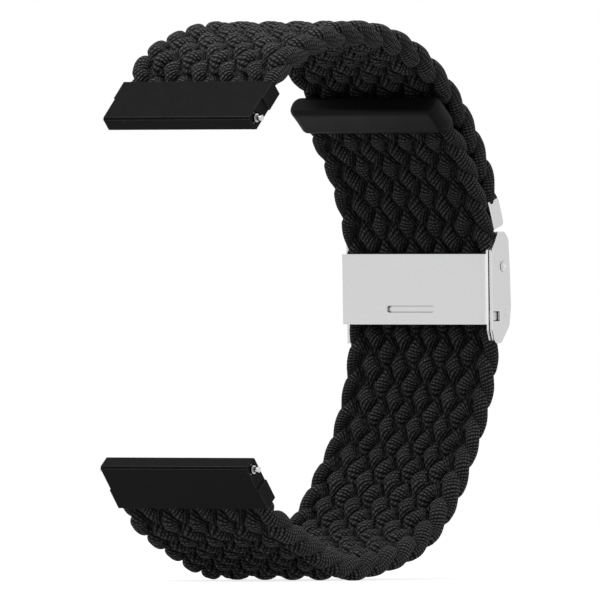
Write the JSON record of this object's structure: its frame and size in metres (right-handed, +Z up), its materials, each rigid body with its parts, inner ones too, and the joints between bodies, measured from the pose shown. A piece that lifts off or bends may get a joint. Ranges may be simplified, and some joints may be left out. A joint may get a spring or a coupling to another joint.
{
  "type": "braided elastic watch strap",
  "caption": "Flat braided elastic watch strap bent in a loop, with metal lug ends on spring bars and a steel flip-lever clasp that sets its length.",
  "frame": {"origin": "under the middle of the strap's box, at the lowest point of the loop", "axes": "+X across the band, -Y towards the watch, +Y towards the clasp, +Z up, as the loop stands in the picture"},
  "size_m": [0.023, 0.0548, 0.0662],
  "materials": {
    "braid": "black elastic cord, matte, fine twill",
    "black_metal": "black anodised, satin",
    "clasp_steel": "satin stainless",
    "bar_steel": "bright turned steel",
    "cap_plastic": "black moulded, fine matte"
  },
  "bodies": {
    "lower_strap": {"lower_braid": "braid", "tail_cap": "cap_plastic", "lower_lug_end": "black_metal", "lower_anchor": "cap_plastic", "lower_bar_tube": "bar_steel", "lower_bar_fixed_tip": "bar_steel", "lower_bar_spring": "bar_steel"},
    "lower_bar_tip": {"lower_bar_sliding_tip": "bar_steel", "lower_release_knob": "bar_steel"},
    "clasp": {"clasp_base": "clasp_steel", "hinge_rivets": "clasp_steel", "link_pin": "clasp_steel"},
    "lever": {"clasp_lever": "clasp_steel", "grip_strip": "clasp_steel"},
    "upper_strap": {"upper_braid": "braid", "strap_end_crimp": "clasp_steel", "upper_lug_end": "black_metal", "upper_anchor": "cap_plastic", "upper_bar_tube": "bar_steel", "upper_bar_fixed_tip": "bar_steel", "upper_bar_spring": "bar_steel"},
    "upper_bar_tip": {"upper_bar_sliding_tip": "bar_steel", "upper_release_knob": "bar_steel"}
  },
  "joints": [
    {"name": "size_adjust", "type": "hinge", "parent": "lower_strap", "child": "clasp", "pos_m": [0, -0.0054, 0.03185], "axis": [1, 0, 0], "range_deg": [-32, 27]},
    {"name": "lever_flip", "type": "hinge", "parent": "clasp", "child": "lever", "pos_m": [0, 0.02568, 0.03731], "axis": [1, 0, 0], "range_deg": [0, 95]},
    {"name": "link_swing", "type": "hinge", "parent": "clasp", "child": "upper_strap", "pos_m": [0, 0.02599, 0.04002], "axis": [-1, 0, 0], "range_deg": [0, 50]},
    {"name": "upper_bar_release", "type": "slide", "parent": "upper_strap", "child": "upper_bar_tip", "axis": [-1, 0, 0], "range_m": [0, 0.001], "stiffness_N_per_m": 1000, "springref_m": -0.001, "deforming": ["upper_bar_spring"]},
    {"name": "lower_bar_release", "type": "slide", "parent": "lower_strap", "child": "lower_bar_tip", "axis": [1, 0, 0], "range_m": [0, 0.001], "stiffness_N_per_m": 1000, "springref_m": -0.001, "deforming": ["lower_bar_spring"]}
  ]
}
